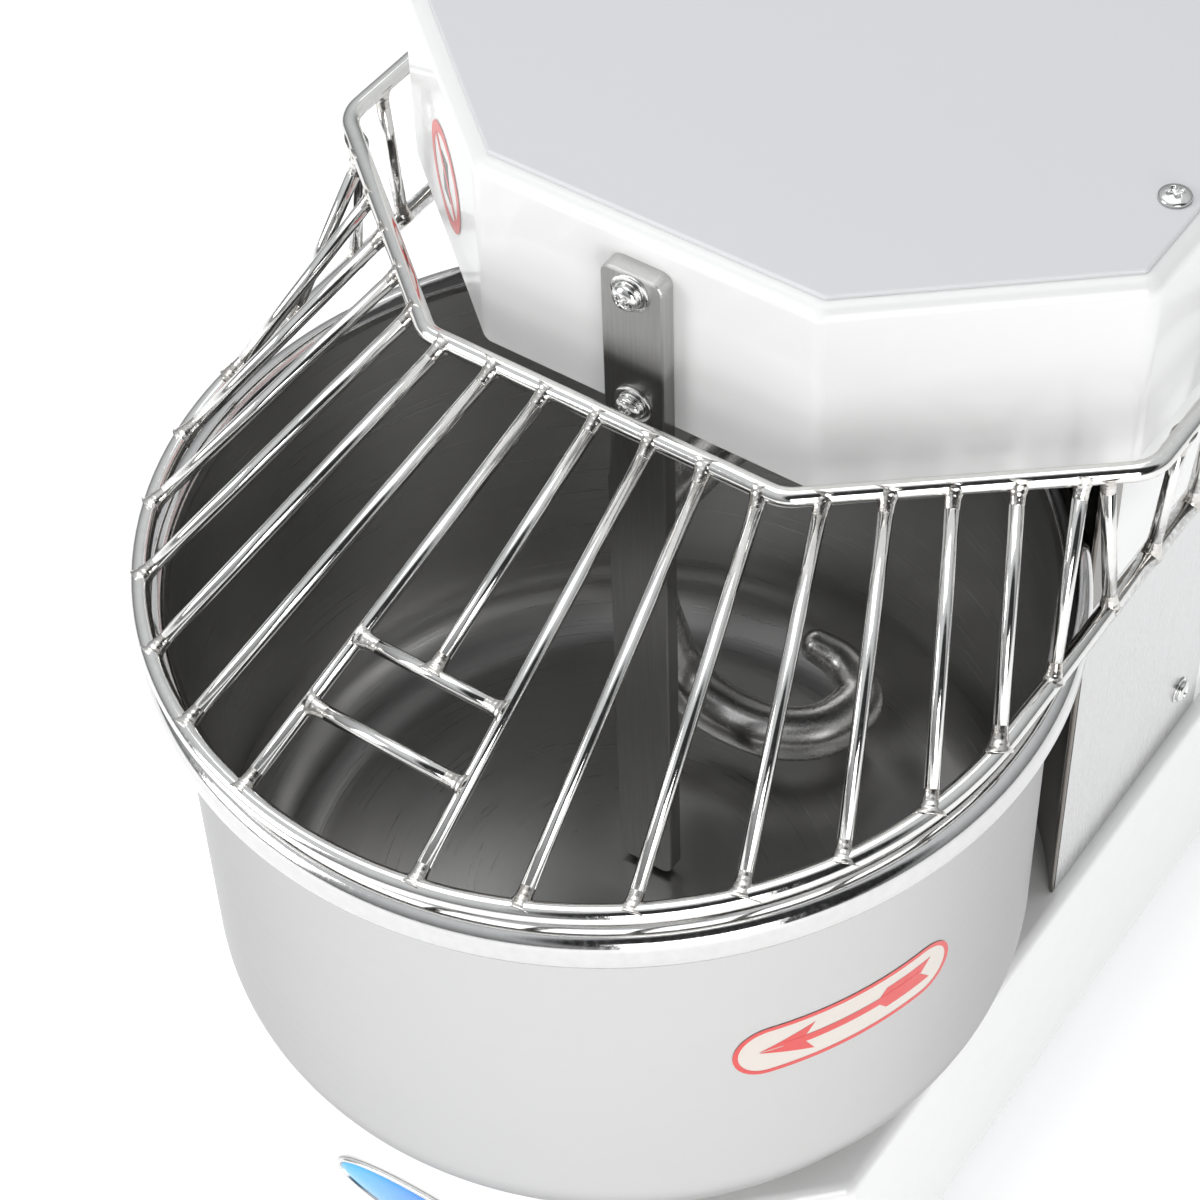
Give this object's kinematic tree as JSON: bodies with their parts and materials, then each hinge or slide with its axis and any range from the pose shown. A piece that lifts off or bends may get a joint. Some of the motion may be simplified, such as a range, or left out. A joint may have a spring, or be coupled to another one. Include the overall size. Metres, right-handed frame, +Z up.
{
  "type": "spiral dough mixer",
  "caption": "Tabletop spiral dough mixer: steel bowl turning on a white base, spiral hook and breaker bar under a fixed head, tilting wire guard over the bowl.",
  "frame": {"origin": "floor, under the centre of the machine's overall width and depth", "axes": "+Z up; the front of the machine, where the bowl and the guard are, faces -Y; +X is to the right of someone standing in front of it and looking at it"},
  "size_m": [0.3874, 0.61, 0.5418],
  "materials": {
    "white_paint": "smooth gloss paint",
    "white_gloss": "gloss white paint",
    "white_panel": "gloss paint",
    "lid_sheet": "satin white paint",
    "zinc_plate": "zinc plated sheet",
    "zinc_screw": "bright zinc",
    "black_rubber": "matt",
    "badge_blue": "domed gloss",
    "black_plastic": "fine texture",
    "dark_stainless": "mirror polished, vertical grain",
    "stainless_plate": "polished",
    "bar_stainless": "vertical brushing",
    "bowl_stainless": "satin outside, turned inside",
    "cast_hub": "machined casting",
    "ground_shaft": "ground",
    "cast_housing": "painted casting",
    "sprocket_steel": "oiled",
    "chain_steel": "oiled",
    "bearing_steel": "ground",
    "gearbox_paint": "painted casting",
    "motor_paint": "painted casting",
    "cowl_paint": "satin",
    "grey_plastic": "moulded",
    "hook_stainless": "polished rod",
    "guard_wire": "polished wire",
    "nylon_washer": "moulded",
    "panel_grey": "printed film",
    "bezel_black": "gloss",
    "green_plastic": "gloss",
    "red_plastic": "gloss",
    "yellow_plastic": "gloss",
    "knob_black": "moulded"
  },
  "bodies": {
    "frame": {"badge_plate": "badge_blue", "ball_bearings": "bearing_steel", "base_bottom_plate": "zinc_plate", "base_shell": "white_paint", "bowl_bearing_housing": "cast_housing", "bowl_chain": "chain_steel", "breaker_bar": "bar_stainless", "breaker_bar_fasteners": "zinc_screw", "button_bezels": "bezel_black", "cable_gland": "black_plastic", "column_front_cover": "dark_stainless", "column_shell": "white_paint", "contact_blocks": "black_plastic", "control_panel": "panel_grey", "cover_screws": "zinc_screw", "electrical_box": "grey_plastic", "emergency_stop_collar": "yellow_plastic", "foot_studs": "zinc_screw", "gearbox_bracket": "zinc_plate", "gearbox_case": "gearbox_paint", "guard_safety_switch": "black_plastic", "head_lid": "lid_sheet", "head_pan": "zinc_plate", "head_shell": "white_gloss", "lid_screws": "zinc_screw", "main_bearing_housings": "cast_housing", "motor_body": "motor_paint", "motor_fan_cowl": "cowl_paint", "motor_terminal_box": "black_plastic", "rear_cover": "white_panel", "rubber_feet": "black_rubber", "side_plate_left": "stainless_plate", "side_plate_right": "stainless_plate", "spiral_bearing_housing": "cast_housing", "spiral_chain": "chain_steel", "spiral_seal": "black_rubber"},
    "bowl_assembly": {"bowl": "bowl_stainless", "bowl_hub": "cast_hub", "bowl_shaft": "ground_shaft", "bowl_sprocket": "sprocket_steel", "bowl_shaft_nut": "zinc_screw"},
    "spiral_assembly": {"spiral_hook": "hook_stainless", "spiral_shaft": "ground_shaft", "spiral_drive_pin": "zinc_screw", "spiral_sprocket": "sprocket_steel", "spiral_shaft_nut": "zinc_screw"},
    "main_shaft_assembly": {"main_shaft": "ground_shaft", "main_sprockets": "sprocket_steel"},
    "guard": {"guard_ring": "guard_wire", "guard_upper_wire": "guard_wire", "guard_bars": "guard_wire", "guard_hinge_plates": "stainless_plate", "guard_pivot_pins": "zinc_screw", "guard_pivot_washers": "nylon_washer", "guard_cam": "nylon_washer"},
    "start_button": {"start_button": "green_plastic"},
    "stop_button": {"stop_button": "red_plastic"},
    "emergency_stop": {"emergency_stop": "red_plastic"},
    "timer_knob": {"timer_knob": "knob_black"}
  },
  "joints": [
    {"name": "bowl_spin", "type": "hinge", "parent": "frame", "child": "bowl_assembly", "pos_m": [0, -0.112, 0.161], "axis": [0, 0, 1], "continuous": true},
    {"name": "spiral_spin", "type": "hinge", "parent": "frame", "child": "spiral_assembly", "pos_m": [0, -0.005, 0.47], "axis": [0, 0, 1], "continuous": true},
    {"name": "main_shaft_spin", "type": "hinge", "parent": "frame", "child": "main_shaft_assembly", "pos_m": [0.07, 0.2, 0.2], "axis": [0, 0, 1], "continuous": true},
    {"name": "guard_tilt", "type": "hinge", "parent": "frame", "child": "guard", "pos_m": [0, 0.088, 0.485], "axis": [-1, 0, 0], "range_deg": [0, 80]},
    {"name": "start_button_press", "type": "slide", "parent": "frame", "child": "start_button", "axis": [-1, 0, 0], "range_m": [0, 0.003], "stiffness_N_per_m": 800, "springref_m": -0.001},
    {"name": "stop_button_press", "type": "slide", "parent": "frame", "child": "stop_button", "axis": [-1, 0, 0], "range_m": [0, 0.003], "stiffness_N_per_m": 800, "springref_m": -0.001},
    {"name": "emergency_stop_press", "type": "slide", "parent": "frame", "child": "emergency_stop", "axis": [-1, 0, 0], "range_m": [0, 0.004], "stiffness_N_per_m": 1500, "springref_m": -0.001},
    {"name": "timer_turn", "type": "hinge", "parent": "frame", "child": "timer_knob", "pos_m": [0.18, 0.253, 0.492], "axis": [1, 0, 0], "range_deg": [0, 300]}
  ],
  "couplings": [
    {"joint": "spiral_spin", "follows": "bowl_spin", "ratio": 6},
    {"joint": "main_shaft_spin", "follows": "bowl_spin", "ratio": 6}
  ]
}
